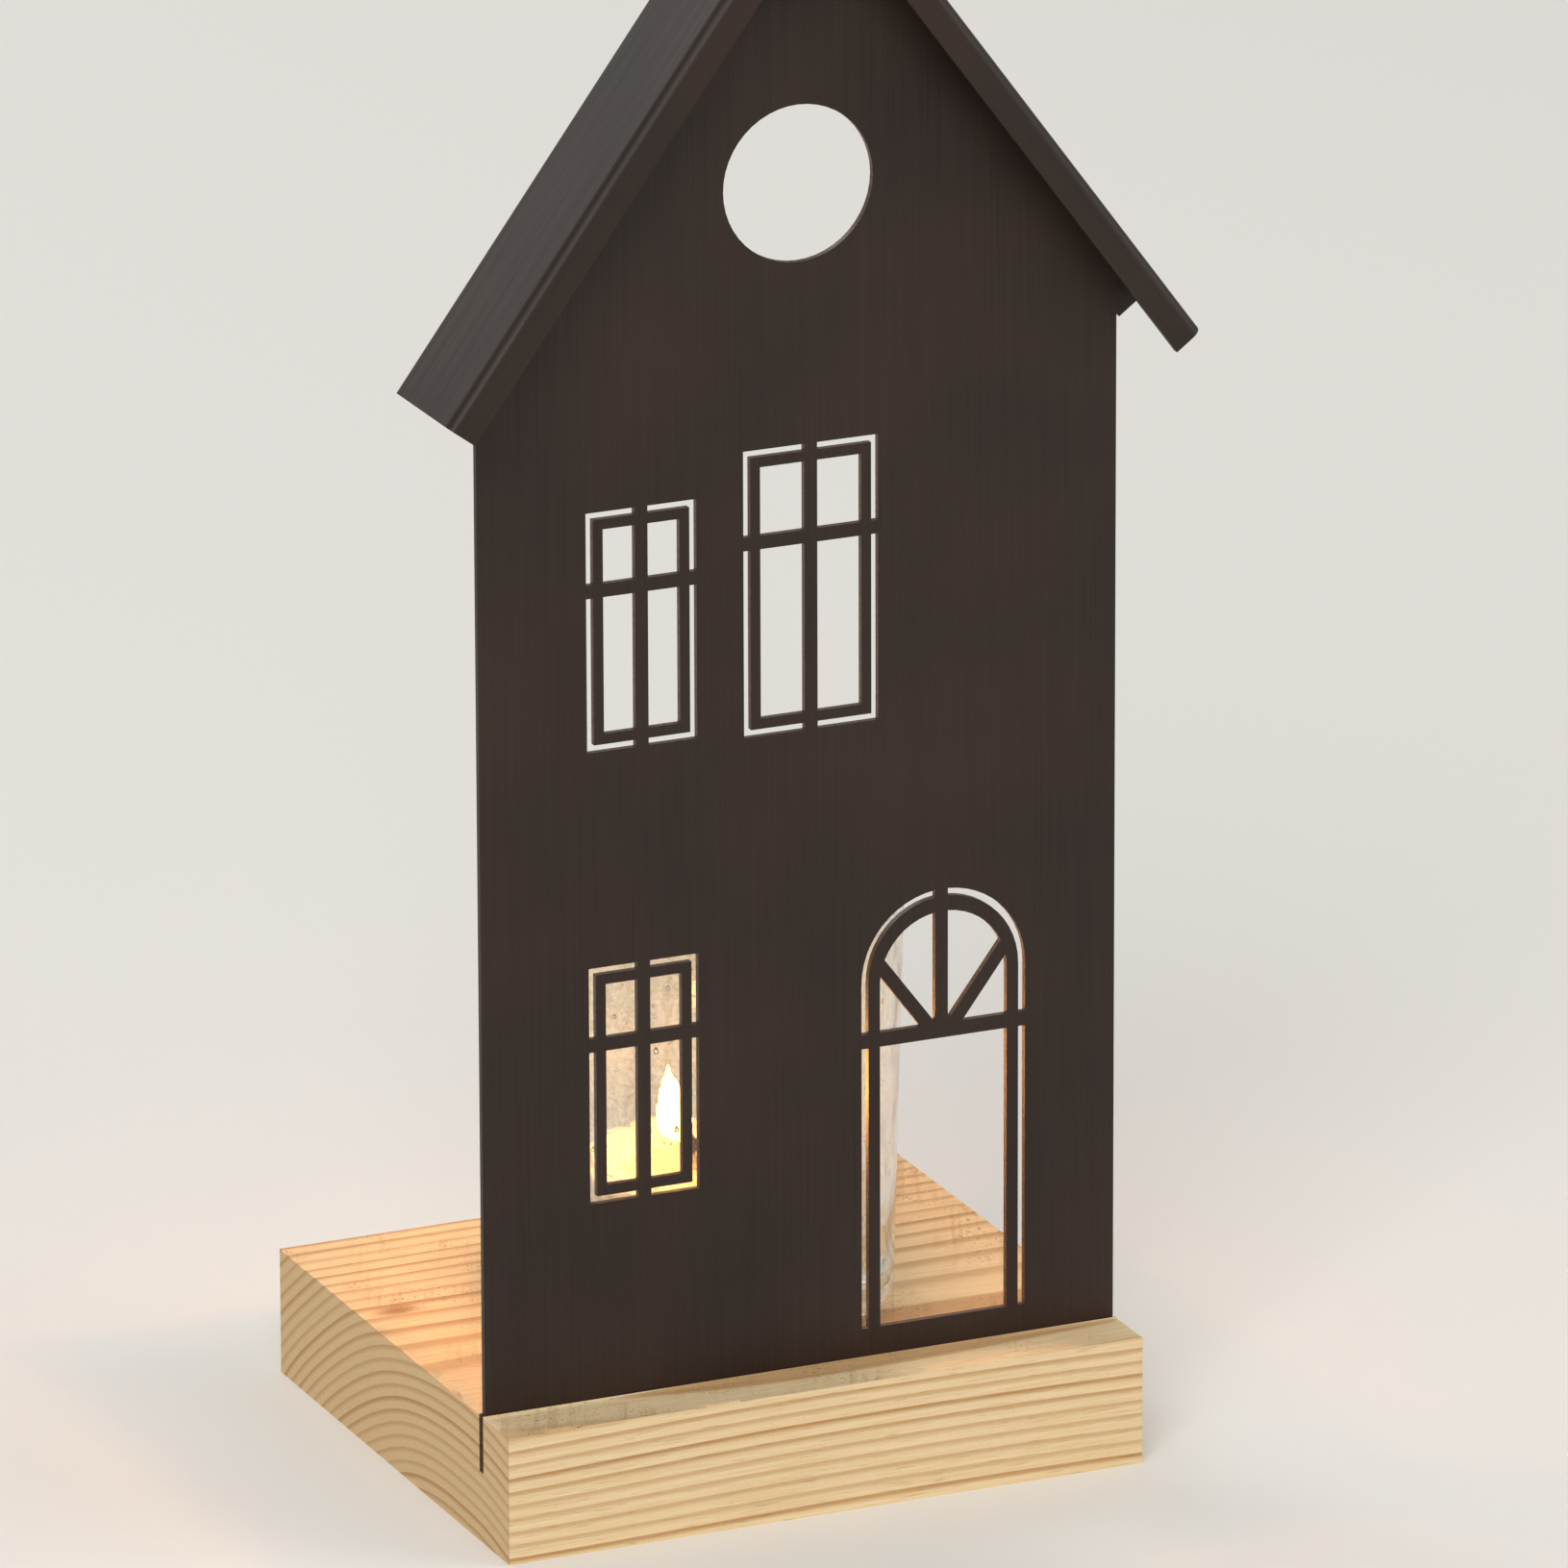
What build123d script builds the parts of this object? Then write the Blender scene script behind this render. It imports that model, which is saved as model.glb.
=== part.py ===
"""Tealight house: a sheet metal house front with a folded roof, set in a saw kerf across a pine block.

A loose tumbler stands on the block behind the front and holds a tealight. Lengths are in millimetres.
+Z is up, the front faces -Y, and the origin is the middle of the block's underside.
"""

from build123d import *
from math import cos, radians, sin, tan
import os

# Pine block, whose ends stand out past the house front by the overhang
block_overhang = 0.5
block_depth = 104.2
block_height = 23.5
block_edge_radius = 0.6

# Saw kerf that the house front stands in
front_setback = 11.5
kerf_depth = 10.5
kerf_clearance = 0.2

# House front, with heights measured from the top of the block
sheet = 1.2
front_width = 119.4
wall_height = 194.6
roof_pitch = 53.5
gable_tip_radius = 1.0

# Cut lines that all openings share
slot_width = 1.3
frame_strip = 1.85
bar_width = 2.4

# Casement windows: two small ones over each other, one large one
small_window_width = 20.5
small_window_height = 42.9
small_transom_drop = 14.05
small_window_x = -29.4
lower_sill_height = 35.75
upper_sill_height = 117.55
large_window_width = 25.2
large_window_height = 51.4
large_transom_drop = 16.6
large_window_x = 2.2
large_sill_height = 116.3

# Round gable window
round_window_radius = 13.9
round_window_height = 214.1

# Arched door with a fanlight
door_width = 31.1
door_x = 27.1
door_sill_height = 5.0
door_spring_height = 68.3
door_strip = 2.2
door_bar_width = 2.6
door_transom_height = 57.9
fan_spoke_angle = 37.0
fan_bar_width = 2.4
fan_offset = -0.35
fan_centre_drop = 1.9
fan_arch_drop = 0.55

# Folded roof strip
roof_front_overhang = 12.8
roof_rear_overhang = 10.6
eave_overhang = 17.1
flange_height = 5.8
bend_radius = 0.8
ridge_radius = 1.5
mitre_gap = 0.4

# Tack welds between the gable and the roof's underside
weld_leg = 1.8
weld_length = 8.0
weld_place_shares = (0.2, 0.5, 0.8)
weld_bulge_share = 0.6

# Tumbler
glass_base_radius = 35.3
glass_rim_radius = 37.5
glass_height = 80.0
glass_wall = 2.6
glass_floor = 8.0
glass_heel_radius = 4.0
glass_floor_radius = 5.0
glass_rim_edge_radius = 1.2
punt_depth = 1.0
punt_radius = 27.0

# Tealight
cup_height = 15.5
cup_base_radius = 17.9
cup_mouth_radius = 18.6
cup_lip_radius = 19.3
cup_wall = 0.5
cup_heel_radius = 0.8
wax_headroom = 2.0
wax_pool_depth = 0.7
wax_shoulder = 1.5
clip_disc_radius = 5.5
clip_disc_thickness = 0.4
clip_tube_radius = 1.7
clip_tube_height = 4.0
wick_radius = 0.9
wick_rise = 3.0
wick_bend_radius = 3.0
wick_bend_angle = 70.0

# Clearances
stand_clearance = 0.3
cast_clearance = 0.1
overrun = 5.0

# Places worked out from the sizes above
pitch = radians(roof_pitch)
block_width = front_width + 2 * block_overhang
front_y = front_setback - block_depth / 2
rear_y = front_y + sheet
gable_height = wall_height + front_width / 2 * tan(pitch)
ridge_height = gable_height + sheet / cos(pitch)
slope_length = front_width / 2 / cos(pitch) + eave_overhang
roof_depth = roof_front_overhang + sheet + roof_rear_overhang
roof_front_y = front_y - roof_front_overhang
roof_mid_y = roof_front_y + roof_depth / 2
glass_y = (rear_y + block_depth / 2) / 2
glass_z = block_height + stand_clearance
tealight_z = glass_z + glass_floor + stand_clearance

# Planes whose local X and Y are the object's X, or a radius, and height
front_plane = Plane(origin=(0, front_y, block_height), x_dir=(1, 0, 0), z_dir=(0, -1, 0))
roof_plane = Plane(origin=(0, roof_front_y, block_height), x_dir=(1, 0, 0), z_dir=(0, -1, 0))
glass_plane = Plane(origin=(0, glass_y, glass_z), x_dir=(1, 0, 0), z_dir=(0, -1, 0))
tealight_plane = Plane(origin=(0, glass_y, tealight_z), x_dir=(1, 0, 0), z_dir=(0, -1, 0))
candle_axis = Axis((0, glass_y, 0), (0, 0, 1))


def casement(width, height, transom_drop):
    """Four panes inside a thin outline slot, which the mullion and the transom interrupt."""
    pane_inset = 2 * (slot_width + frame_strip)
    with BuildSketch() as window:
        Rectangle(width, height)
        Rectangle(width - 2 * slot_width, height - 2 * slot_width, mode=Mode.SUBTRACT)
        Rectangle(width - pane_inset, height - pane_inset)
        Rectangle(bar_width, height + overrun, mode=Mode.SUBTRACT)
        with Locations((0, height / 2 - transom_drop)):
            Rectangle(width + overrun, bar_width, mode=Mode.SUBTRACT)
    return window.sketch


def arch(radius, spring_height, mode=Mode.ADD):
    """A doorway on the current sketch: straight jambs from the sill up to a half circle."""
    Rectangle(2 * radius, spring_height, align=(Align.CENTER, Align.MIN), mode=mode)
    with Locations((0, spring_height)):
        Circle(radius, mode=mode)


def arched_door():
    """An outline slot round a doorway and a fanlight of two spokes and a mullion, with its sill at Y = 0."""
    spring = door_spring_height - door_sill_height
    transom = door_transom_height - door_sill_height
    outer = door_width / 2
    inner = outer - slot_width - door_strip
    fan_height = spring + outer + overrun - transom
    with BuildSketch() as lights:
        arch(inner, spring - fan_arch_drop)
        with Locations((fan_offset, transom - fan_centre_drop)):
            for angle in (-fan_spoke_angle, fan_spoke_angle):
                Rectangle(
                    fan_bar_width, fan_height, rotation=angle,
                    align=(Align.CENTER, Align.MIN), mode=Mode.SUBTRACT,
                )
        Rectangle(2 * inner, transom, align=(Align.CENTER, Align.MIN))
    with BuildSketch() as doorway:
        arch(outer, spring)
        arch(outer - slot_width, spring, mode=Mode.SUBTRACT)
        add(lights.sketch)
        with Locations((0, transom)):
            Rectangle(door_width + overrun, door_bar_width, mode=Mode.SUBTRACT)
        with Locations((fan_offset, transom)):
            Rectangle(
                fan_bar_width, fan_height,
                align=(Align.CENTER, Align.MIN), mode=Mode.SUBTRACT,
            )
    return doorway.sketch


# Pine block, with eased edges and the kerf sawn right across
with BuildPart() as base_block:
    Box(block_width, block_depth, block_height, align=(Align.CENTER, Align.CENTER, Align.MIN))
    fillet(base_block.edges(), block_edge_radius)
    with Locations((0, front_y + sheet / 2, block_height)):
        Box(
            block_width + overrun, sheet + 2 * kerf_clearance, 2 * kerf_depth,
            mode=Mode.SUBTRACT,
        )

# House front, one laser-cut sheet that stands on the floor of the kerf
small_window = casement(small_window_width, small_window_height, small_transom_drop)
large_window = casement(large_window_width, large_window_height, large_transom_drop)
with BuildPart() as house_front:
    with BuildSketch(front_plane) as front_face:
        with BuildLine():
            Polyline(
                (-front_width / 2, -kerf_depth),
                (front_width / 2, -kerf_depth),
                (front_width / 2, wall_height),
                (0, gable_height),
                (-front_width / 2, wall_height),
                close=True,
            )
        make_face()
        fillet(front_face.vertices().sort_by(Axis.Y)[-1], gable_tip_radius)
        for sill_height in (lower_sill_height, upper_sill_height):
            with Locations((small_window_x, sill_height + small_window_height / 2)):
                add(small_window, mode=Mode.SUBTRACT)
        with Locations((large_window_x, large_sill_height + large_window_height / 2)):
            add(large_window, mode=Mode.SUBTRACT)
        with Locations((0, round_window_height)):
            Circle(round_window_radius, mode=Mode.SUBTRACT)
        with Locations((door_x, door_sill_height)):
            add(arched_door(), mode=Mode.SUBTRACT)
    extrude(amount=-sheet)

# Roof, a folded channel that runs up one slope, is mitred at the ridge and comes down the other
eave_x = slope_length * cos(pitch)
eave_z = block_height + ridge_height - slope_length * sin(pitch)
eave_plane = Plane(origin=(eave_x, roof_mid_y, eave_z), x_dir=(0, 1, 0), z_dir=(-cos(pitch), 0, sin(pitch)))
with BuildPart() as roof:
    with BuildSketch(eave_plane):
        with Locations((0, flange_height)):
            RectangleRounded(roof_depth, 2 * flange_height, bend_radius + sheet)
            RectangleRounded(
                roof_depth - 2 * sheet, 2 * (flange_height - sheet), bend_radius,
                mode=Mode.SUBTRACT,
            )
            Rectangle(
                roof_depth + overrun, flange_height + overrun,
                align=(Align.CENTER, Align.MIN), mode=Mode.SUBTRACT,
            )
    extrude(amount=slope_length)
    split(bisect_by=Plane.YZ, keep=Keep.TOP)
    mirror(about=Plane.YZ)
    with BuildSketch(roof_plane) as ridge_form:
        with BuildLine():
            Polyline(
                (-eave_x, 0),
                (eave_x, 0),
                (eave_x, eave_z - block_height),
                (0, ridge_height),
                (-eave_x, eave_z - block_height),
                close=True,
            )
        make_face()
        fillet(ridge_form.vertices().sort_by(Axis.Y)[-1], ridge_radius)
    extrude(amount=-roof_depth, mode=Mode.INTERSECT)
    slit_top = block_height + ridge_height - (sheet + bend_radius) / cos(pitch)
    with Locations((0, roof_mid_y, slit_top)):
        Box(
            mitre_gap, roof_depth + overrun, flange_height / cos(pitch),
            align=(Align.CENTER, Align.CENTER, Align.MAX), mode=Mode.SUBTRACT,
        )

# Tack welds in the corner between the back of the gable and the underside of the roof
gable_length = front_width / 2 / cos(pitch)
weld_bulge = weld_leg * weld_bulge_share
with BuildPart() as tack_welds:
    for share in weld_place_shares:
        start = share * gable_length - weld_length / 2
        weld_plane = Plane(
            origin=(start * cos(pitch), rear_y, block_height + gable_height - start * sin(pitch)),
            x_dir=(0, 1, 0),
            z_dir=(cos(pitch), 0, -sin(pitch)),
        )
        with BuildSketch(weld_plane):
            with BuildLine():
                Polyline((0, -weld_leg), (0, 0), (weld_leg, 0))
                ThreePointArc((weld_leg, 0), (weld_bulge, -weld_bulge), (0, -weld_leg))
            make_face()
        extrude(amount=weld_length)
    mirror(about=Plane.YZ)

# Tumbler, slightly flared, with a thick floor, a shallow punt and a fire-polished rim
with BuildPart() as lantern_glass:
    with BuildSketch(glass_plane) as glass_section:
        with BuildLine():
            TangentArc((0, punt_depth), (punt_radius, 0), tangent=(1, 0))
            Polyline(
                (punt_radius, 0),
                (glass_base_radius, 0),
                (glass_rim_radius, glass_height),
                (glass_rim_radius - glass_wall, glass_height),
                (glass_base_radius - glass_wall, glass_floor),
                (0, glass_floor),
                (0, punt_depth),
            )
        make_face()
        corners = glass_section.vertices()
        fillet(corners.group_by(Axis.Y)[-1], glass_rim_edge_radius)
        fillet(corners.sort_by_distance((glass_base_radius, 0))[0], glass_heel_radius)
        fillet(corners.sort_by_distance((glass_base_radius - glass_wall, glass_floor))[0], glass_floor_radius)
    revolve(axis=candle_axis)

# Tealight cup, thin clear plastic with a flat lip
with BuildPart() as tealight_cup:
    with BuildSketch(tealight_plane) as cup_section:
        with BuildLine():
            Polyline(
                (0, 0),
                (cup_base_radius, 0),
                (cup_mouth_radius, cup_height - cup_wall),
                (cup_lip_radius, cup_height - cup_wall),
                (cup_lip_radius, cup_height),
                (cup_mouth_radius - cup_wall, cup_height),
                (cup_base_radius - cup_wall, cup_wall),
                (0, cup_wall),
                close=True,
            )
        make_face()
        fillet(cup_section.vertices().sort_by_distance((cup_base_radius, 0))[0], cup_heel_radius)
    revolve(axis=candle_axis)

# Wax, cast in the cup round the wick and its clip, with a shallow melted pool
wax_level = cup_height - wax_headroom
wax_base_radius = cup_base_radius - cup_wall - cast_clearance
wax_level_share = (wax_level - cup_wall) / (cup_height - cup_wall)
wax_top_radius = wax_base_radius + (cup_mouth_radius - cup_base_radius) * wax_level_share
wick_hole_radius = wick_radius + cast_clearance
tube_hole_radius = clip_tube_radius + cast_clearance
tube_hole_top = cup_wall + clip_tube_height + cast_clearance
disc_hole_radius = clip_disc_radius + cast_clearance
disc_hole_top = cup_wall + clip_disc_thickness + cast_clearance
with BuildPart() as tealight_wax:
    with BuildSketch(tealight_plane):
        with BuildLine():
            Polyline(
                (wick_hole_radius, wax_level - wax_pool_depth),
                (wick_hole_radius, tube_hole_top),
                (tube_hole_radius, tube_hole_top),
                (tube_hole_radius, disc_hole_top),
                (disc_hole_radius, disc_hole_top),
                (disc_hole_radius, cup_wall),
                (wax_base_radius, cup_wall),
                (wax_top_radius, wax_level),
                (wax_top_radius - wax_shoulder, wax_level),
            )
            TangentArc(
                (wick_hole_radius, wax_level - wax_pool_depth),
                (wax_top_radius - wax_shoulder, wax_level),
                tangent=(1, 0),
            )
        make_face()
    revolve(axis=candle_axis)

# Wick clip, a pressed disc with a tube that grips the wick
with BuildPart() as wick_clip:
    with BuildSketch(tealight_plane):
        with BuildLine():
            Polyline(
                (wick_hole_radius, cup_wall),
                (clip_disc_radius, cup_wall),
                (clip_disc_radius, cup_wall + clip_disc_thickness),
                (clip_tube_radius, cup_wall + clip_disc_thickness),
                (clip_tube_radius, cup_wall + clip_tube_height),
                (wick_hole_radius, cup_wall + clip_tube_height),
                close=True,
            )
        make_face()
    revolve(axis=candle_axis)

# Wick, straight through the wax and curled over to the left at its burnt end
with BuildPart() as wick:
    with BuildLine(tealight_plane) as wick_path:
        stem = Line((0, cup_wall), (0, wax_level + wick_rise))
        JernArc(start=stem @ 1, tangent=stem % 1, radius=wick_bend_radius, arc_size=wick_bend_angle)
    with BuildSketch(Plane.XY.offset(tealight_z + cup_wall)):
        with Locations((0, glass_y)):
            Circle(wick_radius)
    sweep(path=wick_path.line)

pieces = {
    "base_block": base_block,
    "house_front": house_front,
    "roof": roof,
    "tack_welds": tack_welds,
    "lantern_glass": lantern_glass,
    "tealight_cup": tealight_cup,
    "tealight_wax": tealight_wax,
    "wick_clip": wick_clip,
    "wick": wick,
}
os.makedirs("parts", exist_ok=True)
for name, piece in pieces.items():
    piece.part.label = name
    export_step(piece.part, f"parts/{name}.step")
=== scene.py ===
"""Tealight house: sawn block, glass seeds and flame, all the finishes, a plain studio and the camera."""

import math
import random

import bmesh
import bpy
from bpy.props import FloatProperty, FloatVectorProperty, IntProperty, PointerProperty
from mathutils import Matrix, Vector, noise


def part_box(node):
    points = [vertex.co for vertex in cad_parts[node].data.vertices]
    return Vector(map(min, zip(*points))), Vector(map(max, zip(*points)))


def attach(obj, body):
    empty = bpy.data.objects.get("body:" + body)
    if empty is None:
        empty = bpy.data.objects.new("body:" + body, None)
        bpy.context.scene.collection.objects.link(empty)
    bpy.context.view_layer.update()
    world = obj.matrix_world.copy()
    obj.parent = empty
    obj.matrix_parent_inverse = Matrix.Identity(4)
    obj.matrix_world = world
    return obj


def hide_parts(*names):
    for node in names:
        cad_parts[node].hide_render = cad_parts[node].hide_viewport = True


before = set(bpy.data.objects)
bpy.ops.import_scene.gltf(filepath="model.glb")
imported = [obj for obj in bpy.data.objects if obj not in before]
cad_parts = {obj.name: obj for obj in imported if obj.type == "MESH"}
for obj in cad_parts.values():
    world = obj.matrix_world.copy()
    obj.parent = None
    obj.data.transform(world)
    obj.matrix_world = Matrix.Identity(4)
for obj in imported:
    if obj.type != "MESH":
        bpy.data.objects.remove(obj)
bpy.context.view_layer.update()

bl_info = {
    "name": "Tealight House",
    "version": (1, 0, 0),
    "blender": (4, 5, 0),
    "location": "View3D > Sidebar > Tealight House",
    "description": "Finishes, flame and studio for a sheet metal tealight house on a pine block",
    "category": "Object",
}

MM = 0.001
block_low, block_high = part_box("base_block")
glass_low, glass_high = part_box("lantern_glass")
wick_low, wick_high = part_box("wick")
sheet_low, sheet_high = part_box("house_front")
candle_axis = (glass_low + glass_high) / 2
kerf_y = (sheet_low.y + sheet_high.y) / 2

# A point of the block that is nearer to a face than TOUCH lies on it. FLUSH allows for rounding alone.
TOUCH = 0.1 * MM
FLUSH = 0.02 * MM
# Width of one band of a wave texture at scale 1
WAVE_BAND = 0.31


def linear(code):
    """The linear colour of an sRGB hex value, with an alpha of 1."""
    shares = [int(code[i:i + 2], 16) / 255 for i in (1, 3, 5)]
    return (*(s / 12.92 if s <= 0.04045 else ((s + 0.055) / 1.055) ** 2.4 for s in shares), 1.0)


def colour(label, code, description):
    """A colour property whose default is an sRGB hex value."""
    return FloatVectorProperty(
        name=label, description=description, default=linear(code), size=4, subtype="COLOR", min=0, max=1
    )


def length(label, millimetres, description):
    """A length property, written in millimetres and kept in metres."""
    return FloatProperty(
        name=label, description=description, default=millimetres * MM, unit="LENGTH", precision=5
    )


def angle(label, degrees, description):
    """An angle property, written in degrees."""
    return FloatProperty(
        name=label, description=description, default=math.radians(degrees), subtype="ANGLE"
    )


def power(label, watts, description):
    """The power of a lamp."""
    return FloatProperty(name=label, description=description, default=watts, unit="POWER", min=0)


class PineSettings(bpy.types.PropertyGroup):
    """Sizes and colours of the sawn pine."""

    earlywood: colour("Earlywood", "#E6CDA2", "Pale wood between the ring lines")
    latewood: colour("Latewood", "#AE7E49", "Dark line at the end of each year's growth")
    fibre: colour("Fibre", "#D2AD78", "Streaks along the grain")
    end_grain: colour("End grain", "#AE8450", "Cut ends of the fibres")
    resin: colour("Resin", "#8E5D30", "Resin streak and resin ducts")
    # Colour of the dust specks in the top, and painted shade on the walls of the kerf
    speck_and_kerf_shade: colour("Scorch", "#3A2615", "Walls of the kerf, browned by the saw")
    ring_spacing: length("Ring spacing", 2.35, "Growth of one year")
    pith_y: length("Pith depth place", -32.6, "Place of the tree's middle along the block's depth")
    pith_z: length("Pith height", -84.0, "Height of the tree's middle, below the block")
    ring_wander: length("Ring wander", 1.1, "How far a ring line wanders along the grain")
    wander_swing: FloatProperty(
        name="Wander swing", description="Unevenness of the wander, as a share of it", default=1.6
    )
    wander_rate: FloatVectorProperty(
        name="Wander rate", description="Changes of the wander per metre", default=(9, 28, 28), subtype="XYZ"
    )
    fibre_width: length("Fibre width", 0.45, "Width of the fibre streaks")
    fibre_length: length("Fibre length", 14.0, "Length of the fibre streaks")
    duct_width: length("Duct width", 0.22, "Width of the resin ducts")
    duct_length: length("Duct length", 5.0, "Length of the resin ducts")
    saw_pitch: length("Saw mark pitch", 1.1, "Spacing of the saw marks across the grain")
    saw_length: length("Saw mark length", 36.667, "Length of the saw marks")
    saw_slant: angle("Saw mark slant", 23.5, "Turn of the saw marks away from straight across")
    fuzz_size: length("Fuzz size", 0.38462, "Size of the loose fibre ends")
    relief_depth: length("Relief depth", 0.25, "Height of the fibres, the saw marks and the fuzz")
    speck_size: length("Speck size", 0.5, "Size of the specks of dust in the top")
    dust_patch: length("Dust patch", 16.0, "Size of the patches where the dust lies")
    streak_reach: FloatVectorProperty(
        name="Streak reach", description="Half the length and width of the resin streak, and its depth",
        default=(4.8 * MM, 2.1 * MM, 4.0 * MM), subtype="XYZ", unit="LENGTH", precision=5,
    )
    streak_place: FloatVectorProperty(
        name="Streak place", description="Middle of the resin streak, in the top near the left end",
        default=(-53.2 * MM, 14.6 * MM, block_high.z), subtype="XYZ", unit="LENGTH", precision=5,
    )
    grain_depth: length("Grain depth", 0.35, "How far the wood between the ring lines is worn down")
    side_grain: FloatProperty(
        name="Side grain", description="Grain depth of the long sides, as a share of the top's", default=0.3
    )
    arris_wear: length("Arris wear", 0.08, "How far all arrises are worn")
    chip_depth: length("Chip depth", 1.4, "Depth of the deepest chips along the edges")
    chip_rate: FloatProperty(name="Chip rate", description="Changes of the chips per metre", default=130.0)
    chip_start: FloatProperty(name="Chip start", description="Noise level where a chip starts", default=0.1)
    chip_gain: FloatProperty(name="Chip gain", description="How fast a chip deepens", default=2.4)
    foot_fade: length("Foot fade", 2.0, "Height above the underside where the wear is full")
    kerf_clearance: length("Kerf clearance", 0.2, "Room on each side of the sheet in its saw kerf")


class LacquerSettings(bpy.types.PropertyGroup):
    """Sizes and colours of the lacquered sheet."""

    thick: colour("Thick lacquer", "#231812", "Lacquer where it lies thick")
    thin: colour("Thin lacquer", "#30221A", "Lacquer where it lies thin")
    # Thin lacquer on the cut edges, lightened further as a painted highlight of candlelight glinting on the
    # edges of the openings
    cut_edge_and_glint: colour("Cut edge", "#5E4431", "Thin lacquer on the laser-cut edges")
    streak_width: length("Streak width", 0.45, "Width of the brush streaks across the sheet")
    streak_length: length("Streak length", 40.0, "Length of the brush streaks along the sheet")
    streak_depth: length("Streak depth", 0.06, "Height of the brush streaks")
    patch_size: length("Patch size", 40.0, "Size of the soft patches where the lacquer lies thin")
    laser_pitch: length("Laser line pitch", 0.5, "Spacing of the laser's lines on the cut edges")
    laser_length: length("Laser line length", 10.0, "Length of the laser's lines, past the sheet's thickness")
    edge_margin: length("Edge margin", 2.0, "Width along the outer edges without the laser's lines")
    roof_pitch: angle("Roof pitch", 53.5, "Slope of the roof, which its streaks run down")


class GlassSettings(bpy.types.PropertyGroup):
    """Sizes and colours of the tumbler."""

    tint: colour("Tint", "#F3F6F1", "Colour of the clear glass")
    ripple_size: length("Ripple size", 8.0, "Size of the soft ripples on the hand-made surface")
    dimple_spacing: length("Dimple spacing", 1.6, "Spacing of the small dimples")
    ripple_depth: length("Ripple depth", 0.5, "Height of the ripples and the dimples")
    mottle: colour("Mottle", "#D9DFD2", "Cloudy specks in the glass")
    mottle_size: length("Mottle size", 0.9, "Size of the cloudy specks")
    foot_radius: length("Foot radius", 35.3, "Outer radius at the foot")
    wall: length("Wall", 2.6, "Thickness of the wall")
    floor: length("Floor", 8.0, "Thickness of the floor")
    seed_radius: length("Seed radius", 0.55, "Radius of the largest air seeds")
    seed_count: IntProperty(name="Seed count", description="Number of air seeds", default=340, min=1)


class TealightSettings(bpy.types.PropertyGroup):
    """Sizes and colours of the tealight and its flame."""

    wax: colour("Wax", "#F2EBDA", "White paraffin wax")
    melted: colour("Melted wax", "#E7DAB8", "Pool round the wick")
    cup: colour("Cup", "#F6F8F7", "Clear plastic")
    tinplate: colour("Tinplate", "#C4C1BA", "Wick clip")
    cotton: colour("Cotton", "#E6DCC6", "Clean wick")
    char: colour("Char", "#15110E", "Burnt end of the wick")
    flame_core: colour("Flame core", "#FFA850", "Bright middle of the flame")
    flame_edge: colour("Flame edge", "#A04A08", "Cooler foot and tip of the flame")
    haze_size: length("Haze size", 4.5455, "Size of the hazy patches of the cup")
    cloud_size: length("Cloud size", 6.25, "Size of the clouds in the wax")
    cloud_depth: length("Cloud depth", 0.3, "Height of the wax's uneven surface")
    light_depth: length("Light depth", 4.0, "How far light goes into the wax")
    pool_radius: length("Pool radius", 12.5, "Radius of the melted pool")
    pool_fade: length("Pool fade", 3.0, "Width of the pool's soft edge")
    pool_wander: length("Pool wander", 4.0, "How far the pool's edge wanders")
    tin_grain_width: length("Tinplate grain width", 0.33333, "Width of the rolled grain")
    tin_grain_length: length("Tinplate grain length", 3.3333, "Length of the rolled grain")
    strand_width: length("Strand width", 0.8, "Width of the wick's strands")
    strand_depth: length("Strand depth", 0.2, "Height of the wick's strands")
    char_start: length("Char start", 6.5, "How far below the wick's top its burnt end starts")
    char_full: length("Char full", 4.0, "How far below the wick's top it is burnt black")
    flame_height: length("Flame height", 15.0, "From the foot to the tip")
    flame_radius: length("Flame radius", 3.2, "At the widest place")
    flame_foot: length("Flame foot", 2.2, "How far the foot lies below the wick's end")
    flame_side: length("Flame side", 0.6, "How far the foot lies to the left of the wick's end")
    flame_lean: length("Flame lean", 2.0, "How far the tip leans to the left of the foot")
    flame_strength: FloatProperty(
        name="Flame strength", description="Light of the flame, where 1 is white paper in the studio",
        default=210.0, min=0,
    )


class StageSettings(bpy.types.PropertyGroup):
    """The studio and the camera."""

    floor: colour("Floor", "#E9E6E0", "Plain pale floor")
    floor_size: length("Floor size", 24000.0, "Side of the square floor")
    sky: colour("Sky", "#F6F6F6", "Even light all round")
    sky_strength: FloatProperty(
        name="Sky strength", description="Level of the even light", default=0.55, min=0
    )
    key_power: power("Key power", 36.0, "Large soft lamp at the front left")
    fill_power: power("Fill power", 17.0, "Large soft lamp at the front right")
    rear_power: power("Rear power", 15.0, "Large soft lamp behind")
    lamp_size: length("Lamp size", 1400.0, "Side of each square lamp")
    lamp_aim: length("Lamp aim", 140.0, "Height that the lamps point at")
    azimuth: angle("Azimuth", -23.837, "Camera's turn round the object, where 0 looks at the front")
    elevation: angle("Elevation", 18.497, "Camera's height above the horizon")
    roll: angle("Roll", -0.180, "Camera's turn about its line of sight")
    distance: length("Distance", 2769.45, "From the camera to the point it looks at")
    aim: FloatVectorProperty(
        name="Aim", description="Point in the middle of the picture",
        default=(-2.890 * MM, -40.420 * MM, 130.491 * MM), subtype="XYZ", unit="LENGTH",
    )
    focal_length: FloatProperty(name="Focal length", description="In millimetres", default=370.36)
    sensor_width: FloatProperty(name="Sensor width", description="In millimetres", default=36.0)


def node(tree, kind, inputs=None, **settings):
    """Adds a shader node. An input is a value, a socket, or a node, whose first output in use it takes."""
    made = tree.nodes.new("ShaderNode" + kind)
    for name, value in settings.items():
        setattr(made, name, value)
    for name, value in (inputs or {}).items():
        if isinstance(value, bpy.types.Node):
            value = next(socket for socket in value.outputs if socket.enabled)
        if isinstance(value, bpy.types.NodeSocket):
            tree.links.new(value, made.inputs[name])
        else:
            made.inputs[name].default_value = value
    return made


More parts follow.
